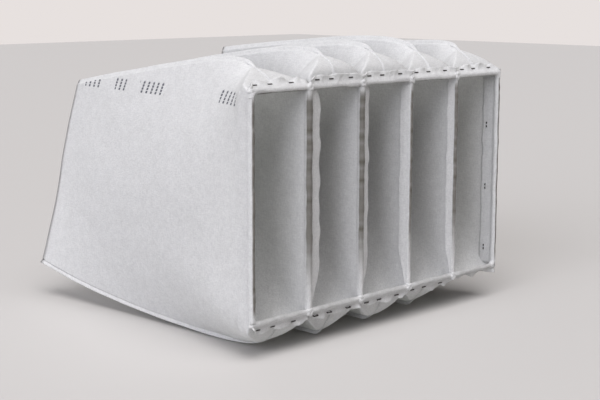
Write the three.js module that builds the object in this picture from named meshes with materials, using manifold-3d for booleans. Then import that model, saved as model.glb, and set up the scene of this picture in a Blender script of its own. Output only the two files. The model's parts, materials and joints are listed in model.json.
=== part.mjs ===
// A bag air filter: five pockets of white nonwoven, hemmed over a welded wire frame and stapled.
// Units are millimetres. X runs across the mouth, Y from the mouth to the back, Z up.
// The pieces are laid out round the middle of the mouth, and the whole is then stood on its lowest seam.
import * as THREE from "three";
import { mergeVertices } from "three/addons/utils/BufferGeometryUtils.js";
import Module from "manifold-3d";

const wasm = await Module();
wasm.setup();

// The mouth and the wire frame
const POCKET_COUNT = 5;
const PITCH = 80; // from wire to wire across the mouth
const MOUTH_HEIGHT = 235; // from the top wire to the bottom wire, centre to centre
const RING_WIRE = 3.5; // diameter
const DIVIDER_WIRE = 3.5; // diameter
const RING_BEND = 7; // centreline radius of the frame's corners
const GAP = 0.3; // clearance between neighbouring pieces
const WIRE_SIDES = 12;
const BEND_STEPS = 4;

// The cloth and its pockets
const FABRIC = 1.5; // thickness of one ply
const PLY_GAP = 0.6; // between the two plies where they lie together
const POCKET_LENGTH = 380; // from the mouth to the fold at the back
const SEAM_FLANGE = 5; // width of the welded edge
const SEAM_PRESSED = 2.4; // thickness of the two plies where they are welded
const HEM_FLAP = 11; // from the wire's centre to the raw edge of the hem, top and bottom
const SIDE_FLAP = 20; // how far the hems of the two outer walls reach back inside the mouth
const WRAP_START = 165; // degrees round a divider, where the edge of the pocket on its left starts to wrap it
const WRAP_END = 265;
const WRAP_STEPS = 6;

// How the cloth bends
const ROOF_REACH = 0.8; // from the hem to the apex of the roof, as a share of half the pocket's width
const SEAM_FULLNESS = 0.75; // how far a seam keeps its first slope, as a share of its rise
const SEAM_EASE = 0.6; // where a seam bends inward most, as a share of its way to the back
const BELLY = 0.35; // how much fuller the pocket is towards the back than a plain wedge
const TURN_POWER = 1.6; // of the turn of a wall towards its seam, far from the mouth
const TURN_POWER_ADDED = 30; // by the frame, at the mouth
const TURN_FADE = 0.4; // distance over which the frame's hold fades, as a share of half the pocket's width
const LEVEL_STEPS = 8; // from the bottom seam to the top one
const ROOF_SHARES = [0.5, 1]; // places of the loops between the hems and the apex
const RUN_SHARES = [0.05, 0.14, 0.28, 0.5, 0.75, 1]; // places of the loops between the apex and the back

// The staples
const STAPLE_WIDTH = 6.5;
const STAPLE_THICKNESS = 0.6; // of the flat wire
const STAPLE_BAND = 1.2; // width of the flat wire
const STAPLE_TIP = 1.8; // length of each tip, bent in behind the cloth
const STAPLE_SEAT = 0.25; // clearance round a staple where it goes through the cloth
const STAPLE_LINE = 6.5; // from the wire's centre to the staples, up the hem
const SIDE_STAPLE_LINE = 14; // from the wire's centre back to the staples in the side wall
const HEM_STAPLES = [-0.36, -0.1, 0.27]; // places along each hem, as shares of a pocket's width
const SIDE_STAPLES = [-0.41, -0.09, 0.23]; // places up the side wall, as shares of the mouth's height

// How each pocket has settled. Of its top and bottom seams, hood is the angle at which the gusset leaves
// the frame, run the distance back at which the seam levels off, rise how far the middle of the seam then
// stands out beyond the wire, comeIn how far it comes in again towards the back, and level the share of
// that way over which it stays level. lean and foot are the sideways shift of the back fold's top and
// bottom, and slant is how far that bottom lies behind the fold's middle.
const SETTLED = [
  {
    top: { hood: 34, run: 76, rise: 25.5, comeIn: 41, level: 0.12 },
    bottom: { hood: 64, run: 54, rise: 33, comeIn: 38, level: 0.55 },
    lean: 14,
    foot: -21,
    slant: 16,
  },
  {
    top: { hood: 78, run: 54, rise: 33.5, comeIn: 43, level: 0.2 },
    bottom: { hood: 76, run: 40, rise: 33, comeIn: 26, level: 0.5 },
    lean: 12,
    foot: -14,
    slant: 12,
  },
  {
    top: { hood: 72, run: 64, rise: 36.5, comeIn: 29, level: 0.2 },
    bottom: { hood: 70, run: 46, rise: 33, comeIn: 24, level: 0.5 },
    lean: 9,
    foot: -6,
    slant: 8,
  },
  {
    top: { hood: 58, run: 88, rise: 39.5, comeIn: 23, level: 0.2 },
    bottom: { hood: 52, run: 58, rise: 33, comeIn: 24, level: 0.5 },
    lean: 13,
    foot: 4,
    slant: 8,
  },
  {
    top: { hood: 50, run: 64, rise: 32.5, comeIn: 26, level: 0.2 },
    bottom: { hood: 26, run: 110, rise: 33, comeIn: 27, level: 0.4 },
    lean: 5,
    foot: 10,
    slant: 4,
  },
];

// Sizes that follow
const MOUTH_HALF = MOUTH_HEIGHT / 2;
const FRAME_HALF = (POCKET_COUNT * PITCH) / 2;
const RING_BORE = RING_WIRE / 2 + GAP; // radius of the space for the wire in its hem
const RING_ROLL = RING_BORE + FABRIC; // outer radius of the hem round the wire
const DIVIDER_BORE = DIVIDER_WIRE / 2 + GAP;
const DIVIDER_ROLL = DIVIDER_BORE + FABRIC;
const HEM_THICKNESS = 2 * FABRIC;

const fleece = new THREE.MeshStandardMaterial({ color: 0xe4e3e8, roughness: 0.95, metalness: 0 });
const zincWire = new THREE.MeshStandardMaterial({ color: 0x8d8f92, roughness: 0.4, metalness: 0.9 });
const stapleWire = new THREE.MeshStandardMaterial({ color: 0x4a4744, roughness: 0.45, metalness: 0.9 });

// Closed meshes and solids

function solidOf(geometry) {
  const bare = geometry.clone();
  bare.deleteAttribute("normal");
  bare.deleteAttribute("uv");
  const merged = mergeVertices(bare, 1e-4);
  const vertProperties = merged.attributes.position.array;
  const triVerts = new Uint32Array(merged.index.array);
  return new wasm.Manifold(new wasm.Mesh({ numProp: 3, vertProperties, triVerts }));
}

function geometryOf(solid) {
  const { vertProperties, triVerts } = solid.getMesh();
  const geometry = new THREE.BufferGeometry();
  geometry.setAttribute("position", new THREE.BufferAttribute(new Float32Array(vertProperties), 3));
  geometry.setIndex(new THREE.BufferAttribute(new Uint32Array(triVerts), 1));
  geometry.computeVertexNormals();
  return geometry;
}

// A closed skin over loops of points, each turning anticlockwise as seen from the loop after it.
// A ring of loops joins its last to its first. A row of loops gets a fan at each end.
function skin(loops, isRing = false) {
  const count = loops[0].length;
  const points = loops.flat();
  const faces = [];
  const steps = isRing ? loops.length : loops.length - 1;
  for (let i = 0; i < steps; i++) {
    const near = i * count;
    const far = ((i + 1) % loops.length) * count;
    for (let j = 0; j < count; j++) {
      const next = (j + 1) % count;
      faces.push(near + j, near + next, far + next, near + j, far + next, far + j);
    }
  }
  if (!isRing) {
    addFan(points, faces, 0, count, true);
    addFan(points, faces, (loops.length - 1) * count, count, false);
  }
  return new THREE.BufferGeometry().setFromPoints(points).setIndex(faces);
}

function addFan(points, faces, first, count, isFront) {
  const hub = points.length;
  const rim = points.slice(first, first + count);
  points.push(rim.reduce((sum, point) => sum.add(point), new THREE.Vector3()).divideScalar(count));
  for (let j = 0; j < count; j++) {
    const here = first + j;
    const next = first + ((j + 1) % count);
    faces.push(hub, isFront ? next : here, isFront ? here : next);
  }
}

function boxBetween(low, high) {
  const size = high.clone().sub(low);
  const middle = low.clone().addScaledVector(size, 0.5);
  return new THREE.BoxGeometry(...size).translate(...middle);
}

// The wire frame: a bent ring, and straight dividers butt-welded into it

function ringTube(radius) {
  const loops = [];
  const corners = [[1, 1], [-1, 1], [-1, -1], [1, -1]];
  corners.forEach(([sideX, sideZ], corner) => {
    const bend = new THREE.Vector3(sideX * (FRAME_HALF - RING_BEND), 0, sideZ * (MOUTH_HALF - RING_BEND));
    for (let step = 0; step <= BEND_STEPS; step++) {
      const turn = (Math.PI / 2) * (corner + step / BEND_STEPS);
      const outward = new THREE.Vector3(Math.cos(turn), 0, Math.sin(turn));
      loops.push(wireSection(bend.clone().addScaledVector(outward, RING_BEND), outward, radius));
    }
  });
  return skin(loops, true);
}

// A section of the ring, turned so that one of its flats faces the front
function wireSection(centre, outward, radius) {
  return Array.from({ length: WIRE_SIDES }, (_, side) => {
    const angle = (2 * Math.PI * (side + 0.5)) / WIRE_SIDES;
    const point = centre.clone().addScaledVector(outward, radius * Math.cos(angle));
    point.y += radius * Math.sin(angle);
    return point;
  });
}

function dividerX(index) {
  return -FRAME_HALF + (index + 1) * PITCH;
}

function dividerRod(index, radius, length) {
  const rod = new THREE.CylinderGeometry(radius, radius, length, WIRE_SIDES);
  return rod.rotateX(Math.PI / 2).translate(dividerX(index), 0, 0);
}

// The space that the whole frame takes up inside the hems
function frameBore() {
  let bore = solidOf(ringTube(RING_BORE));
  for (let i = 0; i < POCKET_COUNT - 1; i++) {
    bore = bore.add(solidOf(dividerRod(i, DIVIDER_BORE, MOUTH_HEIGHT)));
  }
  return bore;
}

// One pocket's cloth. Distances along it run back from the mouth, and levels run from -1 at the bottom seam
// to 1 at the top one. Side 1 is the outer face of the cloth, and side -1 the inner. The creases of the roof
// run in from both corners of the mouth and meet at the apex.
class PocketCloth {
  constructor(index) {
    this.settled = SETTLED[index % SETTLED.length];
    this.isFirst = index === 0;
    this.isLast = index === POCKET_COUNT - 1;
    this.slabLeft = this.isFirst ? -FRAME_HALF - RING_ROLL : dividerX(index - 1) + GAP / 2;
    this.slabRight = this.isLast ? FRAME_HALF + RING_ROLL : dividerX(index) - GAP / 2;
    this.left = (this.isFirst ? this.slabLeft : dividerX(index - 1) + DIVIDER_BORE) + FABRIC / 2;
    this.right = (this.isLast ? this.slabRight : dividerX(index) - DIVIDER_BORE) - FABRIC / 2;
    this.middle = (this.right + this.left) / 2;
    this.half = (this.right - this.left) / 2;
    this.apex = HEM_FLAP + this.half * ROOF_REACH;
    this.top = this.seamPath(this.settled.top, POCKET_LENGTH - this.settled.slant);
    this.bottom = this.seamPath(this.settled.bottom, POCKET_LENGTH + this.settled.slant);
  }

  // A seam in the pocket's middle plane, as distance back and height beyond the wire
  seamPath({ hood, run, rise, comeIn, level }, end) {
    const slope = new THREE.Vector2(1, 0).rotateAround(new THREE.Vector2(), THREE.MathUtils.degToRad(hood));
    const hemEnd = slope.clone().multiplyScalar(HEM_FLAP);
    const bulge = hemEnd.clone().addScaledVector(slope, (rise - hemEnd.y) * SEAM_FULLNESS);
    const levelEnd = THREE.MathUtils.lerp(run, end, level);
    const path = new THREE.Path().moveTo(0, 0).lineTo(hemEnd.x, hemEnd.y);
    path.bezierCurveTo(bulge.x, bulge.y, (hemEnd.x + run) / 2, rise, run, rise);
    const ease = THREE.MathUtils.lerp(levelEnd, end, SEAM_EASE);
    path.bezierCurveTo(levelEnd, rise, ease, rise - comeIn * SEAM_EASE, end, rise - comeIn);
    return path;
  }

  // A point of a seam as (y, z), set outward from the middle of the cloth. Past the apex the distance is
  // shared out over the seam's own length.
  seamPoint(path, distance, outward) {
    const length = path.getLength();
    let along = distance;
    if (distance > this.apex) {
      along = THREE.MathUtils.mapLinear(distance, this.apex, POCKET_LENGTH, this.apex, length);
    }
    const point = path.getPoint(along / length);
    const tangent = path.getTangent(along / length);
    const height = MOUTH_HALF + point.y + outward * tangent.x;
    return new THREE.Vector2(point.x - outward * tangent.y, path === this.top ? height : -height);
  }

  // The sideways place of the middle plane
  middleAt(distance, level) {
    const { lean, foot } = this.settled;
    return this.middle + (distance / POCKET_LENGTH) ** 2 * THREE.MathUtils.mapLinear(level, -1, 1, foot, lean);
  }

  // Half the thickness of the pocket. wall is -1 on the left and 1 on the right.
  halfAt(distance, level, side, wall) {
    const isOuter = wall > 0 ? this.isLast : this.isFirst;
    const flap = isOuter && side < 0 && distance <= SIDE_FLAP ? FABRIC : 0;
    const mouth = this.half + (side * FABRIC) / 2 - flap;
    const fold = PLY_GAP / 2 + (side > 0 ? FABRIC : 0);
    const weld = side > 0 ? SEAM_PRESSED / 2 : PLY_GAP / 2;
    const share = distance / POCKET_LENGTH;
    const flank = fold + (mouth - fold) * (1 - share) * (1 + BELLY * share);
    const reach = Math.max(0, (distance - HEM_FLAP) / (this.apex - HEM_FLAP));
    const crease = Math.min(flank, Math.max(mouth * (1 - reach), weld));
    return THREE.MathUtils.lerp(flank, crease, this.towardSeam(distance, level));
  }

  // How far a wall has turned in towards its seam, from 0 at mid height to 1. The frame keeps the wall flat there.
  towardSeam(distance, level) {
    const nearMouth = Math.exp(-distance / (TURN_FADE * this.half));
    return Math.abs(level) ** (TURN_POWER + TURN_POWER_ADDED * nearMouth);
  }

  levelAt(distance, z) {
    const bottom = this.seamPoint(this.bottom, distance, 0).y;
    const top = this.seamPoint(this.top, distance, 0).y;
    return THREE.MathUtils.mapLinear(z, bottom, top, -1, 1);
  }

  // The points of one wall at one distance, from the bottom seam to the top one
  wallPoints(distance, side, wall) {
    const outward = (side * (distance <= HEM_FLAP ? HEM_THICKNESS : FABRIC)) / 2;
    const top = this.seamPoint(this.top, distance, outward);
    const bottom = this.seamPoint(this.bottom, distance, outward);
    return Array.from({ length: LEVEL_STEPS + 1 }, (_, i) => {
      const level = Math.sin((Math.PI / 2) * ((2 * i) / LEVEL_STEPS - 1));
      const edge = level < 0 ? bottom : top;
      const x = this.middleAt(distance, level) + wall * this.halfAt(distance, level, side, wall);
      const y = THREE.MathUtils.lerp(distance, edge.x, this.towardSeam(distance, level));
      return new THREE.Vector3(x, y, THREE.MathUtils.mapLinear(level, -1, 1, bottom.y, top.y));
    });
  }

  loop(distance, side) {
    return [...this.wallPoints(distance, side, 1).reverse(), ...this.wallPoints(distance, side, -1)];
  }

  // The distances of the loops: the edges of the hems, the roof, and the long run to the back
  stations(end) {
    const hems = [0, HEM_FLAP, HEM_FLAP + FABRIC, SIDE_FLAP, SIDE_FLAP + FABRIC].filter((at) => at < this.apex);
    const roof = ROOF_SHARES.map((share) => THREE.MathUtils.lerp(Math.max(...hems), this.apex, share));
    const run = RUN_SHARES.map((share) => THREE.MathUtils.lerp(this.apex, end, share));
    const distances = [...hems, ...roof, ...run];
    return distances.sort((a, b) => a - b);
  }

  body() {
    return solidOf(skin(this.stations(POCKET_LENGTH).map((distance) => this.loop(distance, 1))));
  }

  // The space inside, drawn out through the mouth
  hollow() {
    const loops = this.stations(POCKET_LENGTH - FABRIC).map((distance) => this.loop(distance, -1));
    const front = loops[0].map((point) => new THREE.Vector3(point.x, -RING_ROLL - GAP, point.z));
    return solidOf(skin([front, ...loops]));
  }

  // The welded edge that stands along a seam, from the hem to the back
  flange(path) {
    const level = path === this.top ? 1 : -1;
    const loops = this.stations(POCKET_LENGTH).filter((distance) => distance > HEM_FLAP).map((distance) => {
      const root = this.seamPoint(path, distance, 0);
      const tip = this.seamPoint(path, distance, FABRIC / 2 + SEAM_FLANGE);
      const high = level > 0 ? tip : root;
      const low = level > 0 ? root : tip;
      const x = this.middleAt(distance, level);
      const corners = [[1, high], [1, low], [-1, low], [-1, high]];
      return corners.map(([wall, at]) => new THREE.Vector3(x + (wall * SEAM_PRESSED) / 2, at.x, at.y));
    });
    return solidOf(skin(loops));
  }

  // The edge of a wall, wrapped round the divider at that wall
  wrap(centre, wall) {
    const turns = [WRAP_START, WRAP_END].map((degrees) => (wall > 0 ? degrees : 180 - degrees));
    const [start, end] = turns.map(THREE.MathUtils.degToRad);
    const section = new THREE.Shape();
    section.absarc(centre, 0, DIVIDER_ROLL, start, end, wall < 0);
    section.absarc(centre, 0, DIVIDER_BORE, end, start, wall > 0);
    section.closePath();
    const options = { depth: MOUTH_HEIGHT, bevelEnabled: false, curveSegments: WRAP_STEPS };
    return solidOf(new THREE.ExtrudeGeometry(section, options).translate(0, 0, -MOUTH_HALF));
  }

  // The hem round the frame's own wire, cut off between this pocket and the next
  roll() {
    const low = new THREE.Vector3(this.slabLeft, -2 * RING_ROLL, -MOUTH_HEIGHT);
    const high = new THREE.Vector3(this.slabRight, 2 * RING_ROLL, MOUTH_HEIGHT);
    return solidOf(ringTube(RING_ROLL)).intersect(solidOf(boxBetween(low, high)));
  }

  solid(index) {
    let cloth = this.body().add(this.flange(this.top)).add(this.flange(this.bottom));
    cloth = cloth.subtract(this.hollow()).add(this.roll());
    if (!this.isFirst) cloth = cloth.add(this.wrap(dividerX(index - 1), -1));
    if (!this.isLast) cloth = cloth.add(this.wrap(dividerX(index), 1));
    return cloth.subtract(frameBore());
  }
}

// The staples, each in a frame of its own: x along the crown, y outward, the middle of the cloth at the origin.
// Grown a little, the same shape is the seat that a staple cuts in the cloth.

function stapleGeometry(grow = 0) {
  const end = STAPLE_WIDTH / 2 + grow;
  const leg = STAPLE_WIDTH / 2 - STAPLE_THICKNESS - grow;
  const tip = leg - STAPLE_TIP;
  const inside = HEM_THICKNESS / 2 + GAP - grow;
  const outside = HEM_THICKNESS / 2 + GAP + STAPLE_THICKNESS + grow;
  const outline = new THREE.Shape();
  outline.moveTo(-end, -outside).lineTo(-tip, -outside).lineTo(-tip, -inside).lineTo(-leg, -inside);
  outline.lineTo(-leg, inside).lineTo(leg, inside).lineTo(leg, -inside).lineTo(tip, -inside);
  outline.lineTo(tip, -outside).lineTo(end, -outside).lineTo(end, outside).lineTo(-end, outside).closePath();
  const band = STAPLE_BAND + 2 * grow;
  return new THREE.ExtrudeGeometry(outline, { depth: band, bevelEnabled: false }).translate(0, 0, -band / 2);
}

function placeOf(crown, outward, position) {
  const place = new THREE.Matrix4().makeBasis(crown, outward, crown.clone().cross(outward));
  return place.setPosition(position);
}

function hemStaplePlaces(cloth, isTop) {
  const seam = isTop ? cloth.settled.top : cloth.settled.bottom;
  const hood = THREE.MathUtils.degToRad(seam.hood);
  const upward = isTop ? 1 : -1;
  const crown = new THREE.Vector3(1, 0, 0);
  const outward = new THREE.Vector3(0, -Math.sin(hood), upward * Math.cos(hood));
  return HEM_STAPLES.map((share) => {
    const y = STAPLE_LINE * Math.cos(hood);
    const z = upward * (MOUTH_HALF + STAPLE_LINE * Math.sin(hood));
    return placeOf(crown, outward, new THREE.Vector3(cloth.middle + share * PITCH, y, z));
  });
}

function sideStaplePlaces(cloth) {
  const crown = new THREE.Vector3(0, 0, 1);
  const outward = new THREE.Vector3(1, 0, 0);
  return SIDE_STAPLES.map((share) => {
    const z = share * MOUTH_HEIGHT;
    const level = cloth.levelAt(SIDE_STAPLE_LINE, z);
    const outer = cloth.middleAt(SIDE_STAPLE_LINE, level) + cloth.halfAt(SIDE_STAPLE_LINE, level, 1, 1);
    return placeOf(crown, outward, new THREE.Vector3(outer - HEM_THICKNESS / 2, SIDE_STAPLE_LINE, z));
  });
}

// The filter

const filter = new THREE.Group();
filter.name = "bag_air_filter";

function addPiece(name, geometry, material) {
  const piece = new THREE.Mesh(geometry, material);
  piece.name = name;
  filter.add(piece);
}

addPiece("frame_wire", ringTube(RING_WIRE / 2), zincWire);
for (let i = 0; i < POCKET_COUNT - 1; i++) {
  const length = MOUTH_HEIGHT - RING_WIRE - 2 * GAP;
  addPiece(`divider_wire_${i + 1}`, dividerRod(i, DIVIDER_WIRE / 2, length), zincWire);
}

for (let i = 0; i < POCKET_COUNT; i++) {
  const cloth = new PocketCloth(i);
  const rows = [
    { name: "top_staple", places: hemStaplePlaces(cloth, true), from: i * HEM_STAPLES.length },
    { name: "bottom_staple", places: hemStaplePlaces(cloth, false), from: i * HEM_STAPLES.length },
    { name: "side_staple", places: cloth.isLast ? sideStaplePlaces(cloth) : [], from: 0 },
  ];
  let solid = cloth.solid(i);
  for (const { name, places, from } of rows) {
    places.forEach((place, n) => {
      solid = solid.subtract(solidOf(stapleGeometry(STAPLE_SEAT).applyMatrix4(place)));
      addPiece(`${name}_${from + n + 1}`, stapleGeometry().applyMatrix4(place), stapleWire);
    });
  }
  addPiece(`pocket_${i + 1}`, geometryOf(solid), fleece);
}

const bounds = new THREE.Box3().setFromObject(filter);
const centre = bounds.getCenter(new THREE.Vector3());
filter.position.set(-centre.x, -centre.y, -bounds.min.z);

export default filter;
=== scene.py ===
import json
import math

import bmesh
import bpy
import numpy as np
from mathutils import Euler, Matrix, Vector, noise

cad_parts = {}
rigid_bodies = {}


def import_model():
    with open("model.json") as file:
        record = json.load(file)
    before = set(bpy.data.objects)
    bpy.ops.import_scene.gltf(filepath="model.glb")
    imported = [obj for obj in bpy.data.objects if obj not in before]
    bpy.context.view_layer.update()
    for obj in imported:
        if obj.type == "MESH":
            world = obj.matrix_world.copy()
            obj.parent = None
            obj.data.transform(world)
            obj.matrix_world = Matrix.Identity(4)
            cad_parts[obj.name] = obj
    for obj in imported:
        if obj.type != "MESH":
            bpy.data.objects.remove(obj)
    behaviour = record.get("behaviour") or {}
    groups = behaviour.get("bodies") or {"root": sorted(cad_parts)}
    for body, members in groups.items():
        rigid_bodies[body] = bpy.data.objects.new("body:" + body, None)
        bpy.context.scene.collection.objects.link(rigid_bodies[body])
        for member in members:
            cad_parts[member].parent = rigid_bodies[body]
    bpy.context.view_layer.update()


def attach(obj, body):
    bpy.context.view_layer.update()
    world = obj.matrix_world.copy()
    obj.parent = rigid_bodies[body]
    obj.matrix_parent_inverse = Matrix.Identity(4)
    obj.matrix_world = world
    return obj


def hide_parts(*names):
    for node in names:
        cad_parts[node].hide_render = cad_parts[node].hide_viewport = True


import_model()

# The camera
# It looks from the left into the mouths of the pockets, a little from above.

camera_data = bpy.data.cameras.new("camera")
camera_data.sensor_width = 36.0
camera_data.lens = 76.2
camera_data.clip_start = 0.05
camera = bpy.data.objects.new("camera", camera_data)
camera.location = (-1.039, -1.1059, 0.3758)
camera.rotation_euler = Euler([math.radians(angle) for angle in (80.4, -0.1, -44.9)])
bpy.context.scene.collection.objects.link(camera)
bpy.context.scene.camera = camera

# The floor, the lights and the backdrop
# A plain pale floor and a pale backdrop. One broad soft light stands on the left of the mouths, and a
# stronger one overhead.

FLOOR_REACH = 6.0
LIGHTS = (
    # name, degrees across, energy, colour, place
    ("key_light", 45, 2.3, (0.92, 0.93, 1.0), Vector((-1.2, -0.34, 0.60))),
    ("overhead_light", 50, 3.4, (1.0, 0.98, 0.985), Vector((-0.45, -0.72, 2.0))),
)
LIT_POINT = Vector((-0.1, -0.1, 0.15))

floor_mesh = bmesh.new()
bmesh.ops.create_grid(floor_mesh, x_segments=1, y_segments=1, size=FLOOR_REACH)
floor_data = bpy.data.meshes.new("floor")
floor_mesh.to_mesh(floor_data)
floor_mesh.free()
floor = bpy.data.objects.new("floor", floor_data)
bpy.context.scene.collection.objects.link(floor)
floor_material = bpy.data.materials.new("floor")
floor_material.use_nodes = True
floor_surface = floor_material.node_tree.nodes["Principled BSDF"]
floor_surface.inputs["Base Color"].default_value = (0.46, 0.45, 0.44, 1.0)
floor_surface.inputs["Roughness"].default_value = 0.7
floor_data.materials.append(floor_material)

for name, degrees, energy, colour, place in LIGHTS:
    light_data = bpy.data.lights.new(name, "SUN")
    light_data.angle = math.radians(degrees)
    light_data.energy = energy
    light_data.color = colour
    light = bpy.data.objects.new(name, light_data)
    light.location = place
    light.rotation_euler = (LIT_POINT - place).to_track_quat("-Z", "Y").to_euler()
    bpy.context.scene.collection.objects.link(light)

world = bpy.data.worlds.new("studio")
bpy.context.scene.world = world
world.use_nodes = True
world_nodes = world.node_tree.nodes
world_links = world.node_tree.links
backdrop = world_nodes["Background"]
backdrop.inputs["Color"].default_value = (1.0, 0.94, 0.92, 1.0)
# the room is lighter on the left, and the backdrop is even
direction = world_nodes.new("ShaderNodeTexCoord")
direction_axes = world_nodes.new("ShaderNodeSeparateXYZ")
world_links.new(direction.outputs["Generated"], direction_axes.inputs["Vector"])
room = world_nodes.new("ShaderNodeMapRange")
room.inputs["From Min"].default_value = -1.0
room.inputs["To Min"].default_value = 0.30
room.inputs["To Max"].default_value = 0.08
world_links.new(direction_axes.outputs["X"], room.inputs["Value"])
rays = world_nodes.new("ShaderNodeLightPath")
strength = world_nodes.new("ShaderNodeMix")
strength.inputs["B"].default_value = 0.80
world_links.new(rays.outputs["Is Camera Ray"], strength.inputs["Factor"])
world_links.new(room.outputs["Result"], strength.inputs["A"])
world_links.new(strength.outputs["Result"], backdrop.inputs["Strength"])
bpy.context.scene.view_settings.view_transform = "Standard"

# The fleece
# White polyester nonwoven, matte and a little translucent. Its loose fibres lie in all directions, so it is
# finely mottled, with cloudy patches where the web is thinner. The first pocket's outer wall has ink marks.

# a turn of each layer of fibres, and how it is drawn out
FIBRE_LAYERS = ((0.2, (1, 0.16, 1)), (0.9, (1, 1, 0.2)), (1.9, (0.25, 1, 0.5)))
FIBRE_SCALE = 900.0
CLOUD_SCALE = 110.0
LINE_HEIGHT = 0.2640
LINE_HALF = 0.0068
TICK_SLANT = 0.25
TICKS_PER_METRE = 105.0
TICK_SHARE = 0.36
DOTS_PER_METRE = 300.0
DOT_SHARE = 0.78
# the middle and the half length of each group, along the wall
TICK_GROUPS = ((0.130, 0.0165), (0.068, 0.012), (0.002, 0.026), (-0.150, 0.020))
MOUTH_PLANE = -0.197
WALL_BOW = 0.083
WALL_LIMIT = -0.160
INK_STRENGTH = 0.9


def new_group(name, outputs):
    group = bpy.data.node_groups.new(name, "ShaderNodeTree")
    for socket, kind in outputs:
        group.interface.new_socket(socket, in_out="OUTPUT", socket_type=kind)
    return group, group.nodes.new("NodeGroupOutput")


web, web_out = new_group("fibre_web", (("Fibres", "NodeSocketFloat"), ("Clouds", "NodeSocketFloat")))
place = web.nodes.new("ShaderNodeTexCoord")
total = None
for turn, stretch in FIBRE_LAYERS:
    mapping = web.nodes.new("ShaderNodeMapping")
    mapping.inputs["Rotation"].default_value = (turn, turn * 0.7, turn * 1.3)
    mapping.inputs["Scale"].default_value = stretch
    web.links.new(place.outputs["Object"], mapping.inputs["Vector"])
    fibres = web.nodes.new("ShaderNodeTexNoise")
    fibres.inputs["Scale"].default_value = FIBRE_SCALE
    fibres.inputs["Detail"].default_value = 3.0
    web.links.new(mapping.outputs["Vector"], fibres.inputs["Vector"])
    if total is None:
        total = fibres.outputs["Fac"]
    else:
        add = web.nodes.new("ShaderNodeMath")
        add.operation = "ADD"
        web.links.new(total, add.inputs[0])
        web.links.new(fibres.outputs["Fac"], add.inputs[1])
        total = add.outputs["Value"]
web.links.new(total, web_out.inputs["Fibres"])
clouds = web.nodes.new("ShaderNodeTexNoise")
clouds.inputs["Scale"].default_value = CLOUD_SCALE
clouds.inputs["Detail"].default_value = 5.0
clouds.inputs["Roughness"].default_value = 0.6
web.links.new(place.outputs["Object"], clouds.inputs["Vector"])
web.links.new(clouds.outputs["Fac"], web_out.inputs["Clouds"])

# Plain tick marks in dots, in four groups near the top of the wall
marks, marks_out = new_group("tick_marks", (("Ink", "NodeSocketFloat"),))


def marks_math(operation, *values):
    node = marks.nodes.new("ShaderNodeMath")
    node.operation = operation
    for socket, value in zip(node.inputs, values):
        if isinstance(value, bpy.types.NodeSocket):
            marks.links.new(value, socket)
        else:
            socket.default_value = value
    return node.outputs["Value"]


marks_place = marks.nodes.new("ShaderNodeTexCoord")
marks_axes = marks.nodes.new("ShaderNodeSeparateXYZ")
marks.links.new(marks_place.outputs["Object"], marks_axes.inputs["Vector"])
across, along, height = (marks_axes.outputs[axis] for axis in "XYZ")
facing = marks.nodes.new("ShaderNodeNewGeometry")
facing_axes = marks.nodes.new("ShaderNodeSeparateXYZ")
marks.links.new(facing.outputs["True Normal"], facing_axes.inputs["Vector"])
from_line = marks_math("SUBTRACT", height, LINE_HEIGHT)
in_line = marks_math("LESS_THAN", marks_math("ABSOLUTE", from_line), LINE_HALF)
slanted = marks_math("ADD", along, marks_math("MULTIPLY", from_line, TICK_SLANT))
tick_phase = marks_math("FRACT", marks_math("MULTIPLY", slanted, TICKS_PER_METRE))
tick = marks_math("LESS_THAN", tick_phase, TICK_SHARE)
dot_phase = marks_math("FRACT", marks_math("MULTIPLY", from_line, DOTS_PER_METRE))
dot = marks_math("LESS_THAN", dot_phase, DOT_SHARE)
ink = marks_math("MULTIPLY", marks_math("MULTIPLY", in_line, tick), dot)
groups = None
for middle, half in TICK_GROUPS:
    from_middle = marks_math("ABSOLUTE", marks_math("SUBTRACT", along, middle))
    near = marks_math("LESS_THAN", from_middle, half)
    groups = near if groups is None else marks_math("MAXIMUM", groups, near)
ink = marks_math("MULTIPLY", ink, groups)
# only on the outer face: the wall bows to the right toward the back, and the face looks to the left
from_mouth = marks_math("SUBTRACT", along, MOUTH_PLANE)
bow = marks_math("MULTIPLY", marks_math("MULTIPLY", from_mouth, from_mouth), WALL_BOW)
outer_side = marks_math("LESS_THAN", marks_math("SUBTRACT", across, bow), WALL_LIMIT)
ink = marks_math("MULTIPLY", ink, outer_side)
ink = marks_math("MULTIPLY", ink, marks_math("LESS_THAN", facing_axes.outputs["X"], -0.5))
marks.links.new(marks_math("MULTIPLY", ink, INK_STRENGTH), marks_out.inputs["Ink"])


def mixed_colour(tree, factor, first, second, blend="MIX"):
    mix = tree.nodes.new("ShaderNodeMix")
    mix.data_type = "RGBA"
    mix.blend_type = blend
    for socket, value in (("Factor", factor), ("A", first), ("B", second)):
        if isinstance(value, bpy.types.NodeSocket):
            tree.links.new(value, mix.inputs[socket])
        else:
            mix.inputs[socket].default_value = value
    return mix.outputs["Result"]


fleece = bpy.data.materials.new("fleece")
fleece.use_nodes = True
nodes = fleece.node_tree.nodes
links = fleece.node_tree.links
nodes.clear()
web_node = nodes.new("ShaderNodeGroup")
web_node.node_tree = web
fibre_tone = nodes.new("ShaderNodeMapRange")
fibre_tone.inputs["From Min"].default_value = 1.1
fibre_tone.inputs["From Max"].default_value = 1.9
links.new(web_node.outputs["Fibres"], fibre_tone.inputs["Value"])
colour = mixed_colour(fleece.node_tree, fibre_tone.outputs["Result"], (0.73, 0.73, 0.75, 1.0),
                      (0.885, 0.885, 0.90, 1.0))
colour = mixed_colour(fleece.node_tree, web_node.outputs["Clouds"], colour, (0.84, 0.84, 0.83, 1.0),
                      blend="MULTIPLY")
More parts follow.
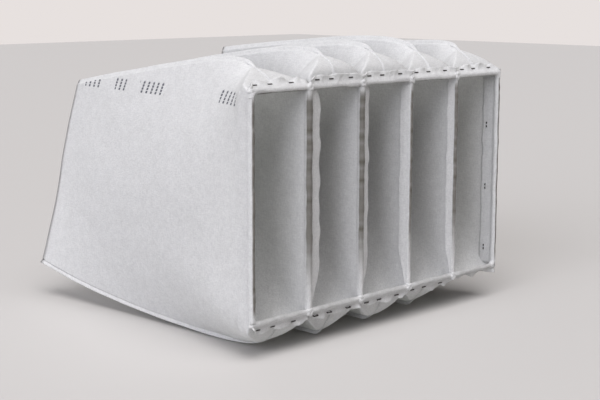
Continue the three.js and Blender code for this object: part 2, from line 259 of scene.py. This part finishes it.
# painted shade on the hems' rolls, on their sides turned from the light, partly the dark wire seen through
# the tight cloth
wire_shows = nodes.new("ShaderNodeAttribute")
wire_shows.attribute_name = "wire_shows"
colour = mixed_colour(fleece.node_tree, wire_shows.outputs["Fac"], colour, (0.10, 0.088, 0.062, 1.0))
marks_node = nodes.new("ShaderNodeGroup")
marks_node.node_tree = marks
colour = mixed_colour(fleece.node_tree, marks_node.outputs["Ink"], colour, (0.075, 0.08, 0.105, 1.0))
bump = nodes.new("ShaderNodeBump")
bump.inputs["Strength"].default_value = 0.35
bump.inputs["Distance"].default_value = 0.0006
links.new(web_node.outputs["Fibres"], bump.inputs["Height"])
diffuse = nodes.new("ShaderNodeBsdfPrincipled")
diffuse.inputs["Roughness"].default_value = 0.9
diffuse.inputs["Sheen Weight"].default_value = 0.15
diffuse.inputs["Specular IOR Level"].default_value = 0.15
links.new(colour, diffuse.inputs["Base Color"])
translucent = nodes.new("ShaderNodeBsdfTranslucent")
passed = mixed_colour(fleece.node_tree, 1.0, colour, (0.98, 1.0, 0.94, 1.0), blend="MULTIPLY")
links.new(passed, translucent.inputs["Color"])
for shader in (diffuse, translucent):
    links.new(bump.outputs["Normal"], shader.inputs["Normal"])
thin = nodes.new("ShaderNodeMixShader")
thin.inputs["Fac"].default_value = 0.44
links.new(diffuse.outputs["BSDF"], thin.inputs[1])
links.new(translucent.outputs["BSDF"], thin.inputs[2])
surface = nodes.new("ShaderNodeOutputMaterial")
links.new(thin.outputs["Shader"], surface.inputs["Surface"])

# The pockets
# Each is one sheet of fleece, folded at the back and welded along its top and bottom edges. At the mouth, the
# welded edges are folded in to gussets, and the cloth is hemmed round the frame's wires. The flaps of the top
# and bottom lie outside, those of the two outer walls inside, and those at the dividers stand off sideways.

MOUTH = Vector((0.0, -0.196921, 0.15625))
PITCH = 0.080
MOUTH_HALF = 0.1175
FRAME_HALF = 0.200
RING_BEND = 0.007
LENGTH = 0.380
FLANGE = 0.005
CLOTH = 0.0010
WELD_GAP = 0.00003
FOLD_HALF = 0.0008
ROLL = 0.0024
HEM = 0.011
SIDE_HEM = 0.020
SEAM_ROWS = 4
GUSSET_ROWS = 12
WALL_COLUMNS = 96
ROWS = 132
SEAM_STEPS = 120
SECTION_STEPS = 81
APEX_SHARE = 0.8
TANGENT_STEP = 0.0015
BEHIND_FLAP = 0.0009
INSIDE_WIRE = 0.0015
WIRE_REACH = 0.004
KEPT_WIDTH = 0.55
CORNER_KEPT_WIDTH = 1.25
BELLY = 0.35
THIN_CREASE = 0.0012
ROWS_MERGE = 0.045
SETTLED = (
    # top and bottom (hood, run, rise, come in, level, tip), then lean, foot, slant
    ((34, 0.076, 0.0255, 0.041, 0.12, 0.0), (64, 0.054, 0.033, 0.038, 0.55, 0.0), 0.014, -0.021, 0.016),
    ((78, 0.054, 0.0335, 0.043, 0.20, 0.3), (59, 0.030, 0.033, 0.026, 0.50, 1.0), 0.012, -0.014, 0.012),
    ((72, 0.064, 0.0365, 0.041, 0.20, 0.3), (64, 0.030, 0.031, 0.024, 0.50, 0.9), 0.009, -0.006, 0.008),
    ((58, 0.088, 0.0395, 0.023, 0.20, 0.2), (48, 0.040, 0.030, 0.024, 0.50, 0.9), 0.013, 0.004, 0.008),
    ((50, 0.064, 0.0325, 0.026, 0.20, 0.2), (26, 0.110, 0.033, 0.027, 0.40, 0.0), 0.005, 0.010, 0.004),
)


def lerp(a, b, share):
    return a + (b - a) * share


def smooth(x, start, end):
    share = min(1.0, max(0.0, (x - start) / (end - start)))
    return share * share * (3 - 2 * share)


def falloff(x, width):
    return math.exp(-((x / width) ** 2))


def lengths_along(points):
    return np.concatenate([[0.0], np.cumsum(np.linalg.norm(np.diff(points, axis=0), axis=1))])


# A seam in the pocket's middle plane, as rows of distance back, height beyond the wire and length so far.
# hood is its slope at the mouth in degrees, run and rise are the place where it is level, level is how long
# it stays so, come_in is how far it falls toward the back, and tip is how pointed it is.
def seam_line(seam, end):
    hood, run, rise, come_in, level, tip = seam
    slope = np.array([math.cos(math.radians(hood)), math.sin(math.radians(hood))])
    hem_end = slope * HEM
    bulge = hem_end + slope * (rise - hem_end[1]) * (0.75 + 0.25 * tip)
    level_end = lerp(run, end, level)
    first = np.array([hem_end, bulge, [lerp(hem_end[0], run, 0.5 + 0.1 * tip), rise], [run, rise]])
    second = np.array([
        [run, rise],
        [level_end, rise],
        [lerp(level_end, end, 0.6), rise - come_in * 0.6],
        [end, rise - come_in],
    ])
    t = np.linspace(0, 1, SEAM_STEPS)[1:, None]
    curves = [
        (1 - t) ** 3 * c[0] + 3 * t * (1 - t) ** 2 * c[1] + 3 * t * t * (1 - t) * c[2] + t ** 3 * c[3]
        for c in (first, second)
    ]
    line = np.vstack([[0.0, 0.0], hem_end, *curves])
    return line[:, 0], line[:, 1], lengths_along(line)


# lean and foot are how far the back stands to the right at the top and at the bottom, and slant is how much
# further back it reaches at the bottom than at the middle
class Pocket:
    def __init__(self, index):
        top, bottom, self.lean, self.foot, slant = SETTLED[index]
        self.index = index
        self.outer = (index == 0, index == len(SETTLED) - 1)
        self.wires = (-FRAME_HALF + index * PITCH, -FRAME_HALF + (index + 1) * PITCH)
        walls = (
            self.wires[0] + (-ROLL if self.outer[0] else ROLL),
            self.wires[1] + (ROLL if self.outer[1] else -ROLL),
        )
        self.middle = sum(walls) / 2
        self.half = (walls[1] - walls[0]) / 2
        self.apex = HEM + self.half * APEX_SHARE
        self.seams = (seam_line(bottom, LENGTH + slant), seam_line(top, LENGTH - slant))
        self.hoods = (math.radians(bottom[0]), math.radians(top[0]))
        self.ramps = (0.060 if self.outer[0] else 0.004, 0.010)

    # A seam's point as (y, z), and the direction in which it stands out
    def seam(self, is_top, distance):
        ys, heights, lengths = self.seams[is_top]
        along = distance
        if distance > self.apex:
            share = (distance - self.apex) / (LENGTH - self.apex)
            along = lerp(self.apex, lengths[-1], share)
        before = min(along, lengths[-1] - TANGENT_STEP)
        after = before + TANGENT_STEP
        here = np.array([np.interp(along, lengths, ys), np.interp(along, lengths, heights)])
        tangent = np.array([
            np.interp(after, lengths, ys) - np.interp(before, lengths, ys),
            np.interp(after, lengths, heights) - np.interp(before, lengths, heights),
        ])
        tangent /= np.linalg.norm(tangent)
        upward = 1 if is_top else -1
        # the ply passes inside the wire, and lies against the flap as far as the flap goes
        past_flap = max(0.0, distance - HEM)
        inward = BEHIND_FLAP * max(0.0, 1 - past_flap / 0.008) + INSIDE_WIRE * falloff(distance, WIRE_REACH)
        point = here + np.array([tangent[1], -tangent[0]]) * inward
        return (point[0], upward * (MOUTH_HALF + point[1])), (-tangent[1], upward * tangent[0])

    # The middle plane's place across, at a level from -1 at the bottom seam to 1 at the top seam
    def middle_at(self, distance, level):
        return self.middle + (distance / LENGTH) ** 2 * lerp(self.foot, self.lean, (level + 1) / 2)

    # One wall's section at a distance from the mouth: the bottom gusset, the wall and the top gusset. The
    # creases between them keep to rows of their own as far back as the apex, where the gussets end.
    def section(self, distance, side, count):
        (low_y, low_z), _ = self.seam(0, distance)
        (high_y, high_z), _ = self.seam(1, distance)
        levels = np.sin(np.linspace(-math.pi / 2, math.pi / 2, SECTION_STEPS))
        # the first pocket's outer wall keeps its width further back at the bottom
        kept_low = CORNER_KEPT_WIDTH if self.outer[0] and side < 0 else KEPT_WIDTH
        kept = np.where(levels < 0, kept_low, KEPT_WIDTH) * self.half
        toward = np.abs(levels) ** (1.6 + 30 * np.exp(-distance / kept))
        share = distance / LENGTH
        flank = FOLD_HALF + (self.half - FOLD_HALF) * (1 - share) * (1 + BELLY * share)
        reach = max(0.0, (distance - HEM) / (self.apex - HEM))
        crease = min(flank, max(self.half * (1 - reach), THIN_CREASE))
        x = self.middle_at(distance, levels) + side * lerp(flank, crease, toward)
        y = lerp(distance, np.where(levels < 0, low_y, high_y), toward)
        z = lerp(low_z, high_z, (levels + 1) / 2)
        seam_x = (CLOTH / 2 + WELD_GAP) * side
        first = [self.middle_at(distance, -1) + seam_x, low_y, low_z]
        last = [self.middle_at(distance, 1) + seam_x, high_y, high_z]
        points = np.vstack([first, np.column_stack([x, y, z]), last])
        lengths = lengths_along(points)
        total = lengths[-1]
        spread = np.linspace(0, 1, count)
        plain = (spread - 0.09 * np.sin(2 * math.pi * spread)) * total
        low = lengths[1]
        high = total - lengths[-2]
        wall = np.linspace(0, 1, count - 2 * GUSSET_ROWS)
        wall = wall - 0.13 * np.sin(2 * math.pi * wall)
        folded = np.concatenate([
            np.linspace(0, low, GUSSET_ROWS + 1)[:-1],
            low + wall * (total - low - high),
            total - np.linspace(high, 0, GUSSET_ROWS + 1)[1:],
        ])
        at = lerp(folded, plain, smooth(distance, self.apex, self.apex + ROWS_MERGE))
        return np.column_stack([np.interp(at, lengths, points[:, k]) for k in range(3)])


def grid_into(bm, columns, rows):
    made = bmesh.ops.create_grid(bm, x_segments=columns - 1, y_segments=rows - 1, size=1.0)["verts"]
    places = {}
    for vert in made:
        column = round((vert.co.x + 1) / 2 * (columns - 1))
        row = round((vert.co.y + 1) / 2 * (rows - 1))
        places[column, row] = vert
    return places


EDGE_LEANS = (-0.45, 0.55)
EDGE_WANDER = 0.5
EDGE_UPRIGHT = 0.88
EDGE_LOW = 0.22
EDGE_HEMMED = 0.2


# The sheet goes from the mouth along the left wall to the fold at the back, and along the right wall to the
# mouth again
def build_walls(bm, pocket):
    columns = 2 * WALL_COLUMNS - 1
    verts = grid_into(bm, columns, ROWS)
    inner = ROWS - 2 * SEAM_ROWS
    for column in range(columns):
        side = -1 if column < WALL_COLUMNS else 1
        distance = LENGTH * (1 - abs(WALL_COLUMNS - 1 - column) / (WALL_COLUMNS - 1)) ** 1.5
        points = pocket.section(distance, side, inner)
        for k in range(inner):
            verts[column, SEAM_ROWS + k].co = Vector(points[k])
        for row in range(SEAM_ROWS):
            for is_top in (0, 1):
                (y, z), (out_y, out_z) = pocket.seam(is_top, distance)
                free = smooth(distance, pocket.apex - 0.006, pocket.apex + pocket.ramps[is_top])
                reach = FLANGE * (SEAM_ROWS - row) / SEAM_ROWS
                reach *= lerp(EDGE_LOW, 1.0, free)
                if distance < HEM:
                    reach *= EDGE_HEMMED
                x = pocket.middle_at(distance, 1 if is_top else -1) + side * (CLOTH / 2 + WELD_GAP)
                # the welded edge leans over, to the right at the top and to the left at the bottom
                wander = 1 + EDGE_WANDER * noise.noise(Vector((distance * 30, pocket.index, is_top)))
                x += EDGE_LEANS[is_top] * wander * reach
                y += out_y * reach * EDGE_UPRIGHT
                z += out_z * reach * EDGE_UPRIGHT
                verts[column, ROWS - 1 - row if is_top else row].co = (x, y, z)


ROUNDING_PASSES = 110
BULGE = 0.0020


# The first pocket's outer wall is rounder than its folds, and it stands out near its bottom corner
def round_outer_wall(bm, pocket):
    soft = [vert for vert in bm.verts if vert.co.x < pocket.middle - 0.012 and 0.021 < vert.co.y < 0.14]
    for _ in range(ROUNDING_PASSES):
        bmesh.ops.smooth_vert(bm, verts=soft, factor=0.5, use_axis_x=True, use_axis_y=True, use_axis_z=True)
    for vert in bm.verts:
        if vert.co.x < pocket.middle - 0.006:
            near = ((vert.co.y - 0.058) / 0.036) ** 2 + ((vert.co.z + 0.108) / 0.030) ** 2
            vert.co.x -= BULGE * math.exp(-near) * smooth(vert.co.y, 0.008, 0.035)


SWAY = 0.0022
CRUMPLE = 0.0006
SAG = 0.0008


# Soft unevenness, least at the frame
def crumple_walls(bm, index):
    for vert in bm.verts:
        free = smooth(vert.co.y, 0.006, 0.07)
        sway = noise.noise(vert.co * 9.0 + Vector((index * 3.0, 0.0, 0.0)))
        crumple = noise.noise(vert.co * 34.0 + Vector((index * 7.0, 0.0, 0.0)))
        vert.co.x += free * (SWAY * sway + CRUMPLE * crumple)
        vert.co.z += free * SAG * noise.noise(vert.co * 16.0)


HEM_COLUMNS = 71
ROWS_BEFORE = 4
ROWS_ROUND = 18
ROWS_FLAP = 12
OPEN_END = 0.85
CLOSED_END = 0.35
GATHER = 0.006
STAPLE_HOLD = 0.0055
SPRING = 0.0036
SHIFT = 0.0007
LIFT = 0.0024
LIFT_TIP = 0.0065
CREASE = 0.0005
BAND_EDGE = 18
BAND_RUN = 0.0016


# How strong the painted shade is at a turn round the wire in degrees, or at a run along the flap. The roll's
# sides turned from the light are painted dark, partly the wire seen through the cloth.
def painted_shade_share(start, end, turned, run):
    if run is None:
        return smooth(turned, start, start + BAND_EDGE) * (1 - smooth(turned, end - BAND_EDGE, end))
    return 0.0 if end <= 180 else falloff(run, BAND_RUN)


# A hem round a straight wire. lead points back from the wire along the ply, and outward to the flap's side.
# The band gives the painted shade on the roll, partly the wire seen through the cloth: where it lies in
# degrees round the wire, how far it fades in from the first end, and its strength. The flap starts spread
# degrees off lead, comes to lie at the height lie, shrinks by taper towards its first end, and is gathered by
# pinch at its two ends. pins are the places of the staples.
def build_hem(bm, start, end, lead, outward, flap, seed, shade_band, spread=0.0, lie=(0.00115, 0.0),
              pinch=(CLOSED_END, CLOSED_END), taper=0.0, roll=ROLL + 0.00025, lift=1.0, pins=()):
    band_start, band_end, band_fade, band_strength = shade_band
    shade_layer = bm.verts.layers.float["wire_shows"]
    rows = ROWS_BEFORE + ROWS_ROUND + ROWS_FLAP
    verts = grid_into(bm, HEM_COLUMNS, rows)
    along = (end - start).normalized()
    length = (end - start).length
    slope = math.radians(spread)
    for column in range(HEM_COLUMNS):
        at = length * column / (HEM_COLUMNS - 1)
        gathered = max(falloff(at, GATHER) * pinch[0], falloff(length - at, GATHER) * pinch[1])
        wave = noise.noise(Vector((at * 55, seed, 0.0)))
        ripple = noise.noise(Vector((at * 150, seed, 5.0)))
        reach = flap * (1 + 0.14 * wave + 0.06 * ripple) * (1 - gathered)
        reach *= 1 - taper * (1 - smooth(at, 0.004, 0.045))
        swell = 1 + 0.17 * wave + 0.07 * ripple - 0.25 * gathered
        shift = SHIFT * noise.noise(Vector((at * 38, seed, 13.0)))
        held = max((falloff((start + along * at).x - pin, STAPLE_HOLD) for pin in pins), default=0.0)
        radius = roll * max(0.94, swell)
        for row in range(rows):
            angle = 0.0
            run = None
            if row < ROWS_BEFORE:
                back = 0.003 * (1 - row / ROWS_BEFORE)
                out = -roll
            elif row < ROWS_BEFORE + ROWS_ROUND:
                angle = math.pi * (row - ROWS_BEFORE) / ROWS_ROUND
                uneven = 1 + 0.14 * noise.noise(Vector((at * 70 + angle * 0.6, seed, angle * 0.8)))
                uneven += 0.10 * noise.noise(Vector((at * 210 + angle * 1.5, seed, angle * 1.6)))
                back = -radius * math.sin(angle) * uneven
                out = -radius * math.cos(angle) * uneven
            else:
                share = (row - ROWS_BEFORE - ROWS_ROUND) / (ROWS_FLAP - 1)
                run = reach * share
                rest = lie[0] + lie[1] * run + 0.0003 * abs(ripple)
                raised = LIFT * share ** 2 + LIFT_TIP * share ** 3 * max(0.0, 0.1 + wave)
                fold = max(0.0, 1 - 7 * abs(noise.noise(Vector((at * 80 - run * 60, seed, 21.0)))))
                back = run * math.cos(slope)
                out = rest + (radius - rest) * falloff(run, SPRING)
                crease = CREASE * fold * min(1.0, 3 * share)
                out += lift * (1 - held) * (raised + crease) + run * math.sin(slope)
            vert = verts[column, row]
            vert.co = start + along * at + lead * (back + shift) + outward * out
            # painted shade where the roll turns from the light, partly the wire seen through the cloth
            shade_here = painted_shade_share(band_start, band_end, math.degrees(angle), run)
            fade = smooth(at, 0.004, band_fade) * smooth(length - at, 0.002, 0.014)
            vert[shade_layer] = band_strength * shade_here * fade * (0.82 + 0.25 * ripple)


# The roll round a corner of the frame
def build_corner(bm, side, upward):
    centre = Vector((side * (FRAME_HALF - RING_BEND), 0.0, upward * (MOUTH_HALF - RING_BEND)))
    start = Vector((side * (FRAME_HALF - RING_BEND), 0.0, upward * MOUTH_HALF))
    ring = bmesh.ops.create_circle(bm, cap_ends=False, radius=ROLL + 0.0003, segments=20)["verts"]
    for vert in ring:
        vert.co = start + Vector((0.0, vert.co.x, vert.co.y))
    edges = list({edge for vert in ring for edge in vert.link_edges})
    quarter = side * upward * math.pi / 2
    bmesh.ops.spin(bm, geom=ring + edges, cent=centre, axis=(0.0, 1.0, 0.0), angle=quarter, steps=10,
                   use_merge=False, use_duplicate=False)


# Where the cloth is gathered at a crossing of wires: a small pad, pleated toward its middle
def build_knot(bm, centre, seed, reach, depth):
    verts = bmesh.ops.create_icosphere(bm, subdivisions=4, radius=1.0)["verts"]
    for vert in verts:
        ball = vert.co.copy()
        out = math.hypot(ball.x, ball.z)
        pleats = 1 + out * 0.12 * math.cos(5 * math.atan2(ball.z, ball.x) + seed)
        crumple = pleats + 0.22 * noise.noise(ball * 1.8 + Vector((seed, 0, 0)))
        crumple += 0.07 * noise.noise(ball * 6.0)
        vert.co = centre + Vector((ball.x * reach, ball.y * depth, ball.z * reach)) * crumple
        vert.co.y += depth * 0.5 * falloff(out, 0.35)


def middle_x(obj):
    return sum((obj.matrix_world @ Vector(corner)).x for corner in obj.bound_box) / 8


PAST_CORNER = 0.002
SHORT_OF_WIRE = 0.0004
HALF_SIDE = MOUTH_HALF - 0.001
BACKWARD = Vector((0.0, 1.0, 0.0))
# the bands of painted shade on the rolls down the two outer walls, partly the wire seen through the cloth
SIDE_SHADE_BANDS = ((50, 200, 0.016, 0.95), (60, 120, 0.016, 0.95))
# at each divider: the side to which the flap stands off, its width, the angle at which it springs away, the
# roll, and the band of painted shade on the roll, partly the wire seen through the cloth
DIVIDER_FLAPS = (
    (1, 0.0150, 82.0, 0.0033, (-5, 200, 0.085, 0.95)),
    (1, 0.0110, 76.0, 0.0030, (-5, 200, 0.085, 0.95)),
    (-1, 0.0105, 4.0, 0.0025, (5, 140, 0.085, 0.95)),
    (-1, 0.0078, 5.0, 0.0026, (5, 165, 0.085, 0.95)),
)


# The hem along the top or the bottom of a pocket's mouth, and the cloth at its crossings with other wires
def build_level_hem(bm, pocket, is_top, pins):
    upward = 1 if is_top else -1
    hood = pocket.hoods[is_top]
    back = Vector((0.0, math.cos(hood), upward * math.sin(hood)))
    outward = Vector((0.0, -math.sin(hood), upward * math.cos(hood)))
    left = pocket.wires[0] - (PAST_CORNER if pocket.outer[0] else -SHORT_OF_WIRE)
    right = pocket.wires[1] + (PAST_CORNER if pocket.outer[1] else -SHORT_OF_WIRE)
    height = upward * MOUTH_HALF
    # painted shade round the roll, from the top roll's underside to its front and over most of the bottom
    # roll, fainter there; partly the wire seen through the cloth
    if is_top:
        band = (-20, math.degrees(hood) + 56, 0.012, 0.90 if pocket.outer[0] else 0.55)
    else:
        band = (-60, 175, 0.016, 0.30)
    pinch = [OPEN_END if outer else CLOSED_END for outer in pocket.outer]
    build_hem(bm, Vector((left, 0, height)), Vector((right, 0, height)), back, outward, HEM,
              pocket.index * 2.0 + is_top, band, pinch=pinch, pins=pins)
    if not pocket.outer[1]:
        crossing = Vector((pocket.wires[1], -0.0016, height))
        build_knot(bm, crossing, pocket.index + 10.0 * is_top, reach=0.0042, depth=0.0028)
    for side, outer in zip((-1, 1), pocket.outer):
        if outer:
            build_corner(bm, side, upward)


# The hem down an outer wall, whose flap lies inside the pocket, and the cloth at its two corners
def build_side_hem(bm, pocket, side):
    wire_x = pocket.wires[side]
    inward = Vector((1.0 if side == 0 else -1.0, 0.0, 0.0))
    build_hem(bm, Vector((wire_x, 0, -HALF_SIDE)), Vector((wire_x, 0, HALF_SIDE)), BACKWARD, inward, SIDE_HEM,
              20.0 + side, SIDE_SHADE_BANDS[side], lie=(-0.0012, 0.07), pinch=(0.0, 0.0), lift=0.1)
    for upward in (-1, 1):
        corner = Vector((wire_x, 0.0006, upward * MOUTH_HALF))
        build_knot(bm, corner, 40.0 + side + upward, reach=0.0033, depth=0.0031)


# The hem down a divider, on the pocket at its left
def build_divider_hem(bm, pocket):
    side, flap, spread, roll, band = DIVIDER_FLAPS[pocket.index]
    wire_x = pocket.wires[1]
    lie = (ROLL, 0.0) if side > 0 else (ROLL + 0.0011, 0.05)
    outward = Vector((side, 0, 0))
    build_hem(bm, Vector((wire_x, 0, -HALF_SIDE)), Vector((wire_x, 0, HALF_SIDE)), BACKWARD, outward, flap,
              30.0 + pocket.index, band, spread=spread, lie=lie, taper=0.8, roll=roll, lift=0.15)


staple_places = [[middle_x(obj) for obj in bpy.data.objects if obj.name.startswith(name)]
                 for name in ("bottom_staple", "top_staple")]

for index in range(len(SETTLED)):
    pocket = Pocket(index)
    bm = bmesh.new()
    # the share of painted shade on each point of the hems' rolls
    bm.verts.layers.float.new("wire_shows")
    build_walls(bm, pocket)
    if pocket.outer[0]:
        round_outer_wall(bm, pocket)
    crumple_walls(bm, index)
    for is_top in (0, 1):
        build_level_hem(bm, pocket, is_top, staple_places[is_top])
    for side in (0, 1):
        if pocket.outer[side]:
            build_side_hem(bm, pocket, side)
    if not pocket.outer[1]:
        build_divider_hem(bm, pocket)
    for vert in bm.verts:
        vert.co += MOUTH
    bmesh.ops.recalc_face_normals(bm, faces=bm.faces)
    for face in bm.faces:
        face.smooth = True
    name = f"pocket_cloth_{index + 1}"
    data = bpy.data.meshes.new(name)
    bm.to_mesh(data)
    bm.free()
    data.materials.append(fleece)
    piece = bpy.data.objects.new(name, data)
    bpy.context.scene.collection.objects.link(piece)
    thickness = piece.modifiers.new("cloth_thickness", "SOLIDIFY")
    thickness.thickness = CLOTH
    thickness.offset = 0.0
    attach(piece, "root")
    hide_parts(f"pocket_{index + 1}")

# The wires
# Drawn steel wire, zinc plated and dulled: one is bent to a closed rectangle round the mouth, and four
# straight ones are welded across it. They are closed in by the hems.


# A tone that changes in cloudy patches, rougher where it is darker
def worn_metal(name, light, dark, size, metallic):
    material = bpy.data.materials.new(name)
    material.use_nodes = True
    nodes = material.node_tree.nodes
    links = material.node_tree.links
    surface = nodes["Principled BSDF"]
    surface.inputs["Metallic"].default_value = metallic
    place = nodes.new("ShaderNodeTexCoord")
    patches = nodes.new("ShaderNodeTexNoise")
    patches.inputs["Scale"].default_value = size
    patches.inputs["Detail"].default_value = 5.0
    links.new(place.outputs["Object"], patches.inputs["Vector"])
    tone = nodes.new("ShaderNodeMapRange")
    tone.inputs["From Min"].default_value = 0.35
    tone.inputs["From Max"].default_value = 0.65
    links.new(patches.outputs["Fac"], tone.inputs["Value"])
    colour = mixed_colour(material.node_tree, tone.outputs["Result"], (*dark, 1.0), (*light, 1.0))
    links.new(colour, surface.inputs["Base Color"])
    rough = nodes.new("ShaderNodeMapRange")
    rough.inputs["To Min"].default_value = 0.62
    rough.inputs["To Max"].default_value = 0.38
    links.new(tone.outputs["Result"], rough.inputs["Value"])
    links.new(rough.outputs["Result"], surface.inputs["Roughness"])
    return material


def set_material(obj, material):
    for slot in obj.material_slots:
        slot.material = material


wire = worn_metal("zinc_wire", light=(0.30, 0.29, 0.27), dark=(0.16, 0.15, 0.13), size=260.0, metallic=0.8)
for name in ("frame_wire", *[f"divider_wire_{number}" for number in range(1, 5)]):
    set_material(bpy.data.objects[name], wire)

# The staples
# Flat dark steel wire, bent to a back that lies on the cloth and two legs that go through it, with their tips
# turned in behind. Three hold each pocket's top hem, three its bottom hem and three the flap of the last
# pocket's outer wall.

staple = worn_metal("staple_steel", light=(0.055, 0.05, 0.045), dark=(0.02, 0.018, 0.015), size=900.0,
                    metallic=0.5)
for obj in bpy.data.objects:
    if "staple_" in obj.name and obj.type == "MESH":
        set_material(obj, staple)
